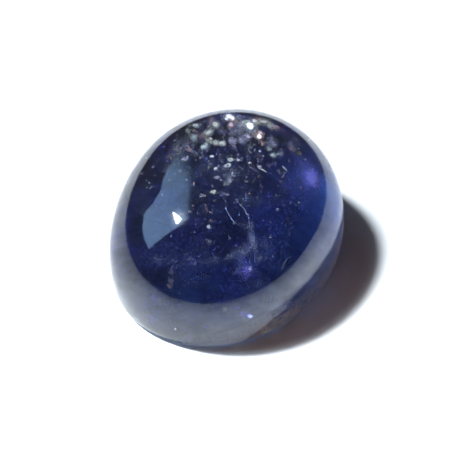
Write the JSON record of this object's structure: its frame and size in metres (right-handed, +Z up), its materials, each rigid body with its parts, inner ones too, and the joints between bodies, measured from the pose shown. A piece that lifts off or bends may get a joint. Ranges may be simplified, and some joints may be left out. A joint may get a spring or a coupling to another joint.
{
  "type": "iolite cabochon",
  "caption": "Oval, high-domed polished cabochon of deep blue-violet iolite with sealed reflective platelets and a flat underside to rest on.",
  "frame": {"origin": "middle of the flat underside, on the surface that the stone rests on", "axes": "+X along the long way of the oval, +Y along the short way, +Z up through the dome"},
  "size_m": [0.012, 0.0096, 0.0057],
  "materials": {
    "iolite": "polished"
  },
  "bodies": {
    "root": {"iolite_cabochon": "iolite"}
  },
  "joints": []
}
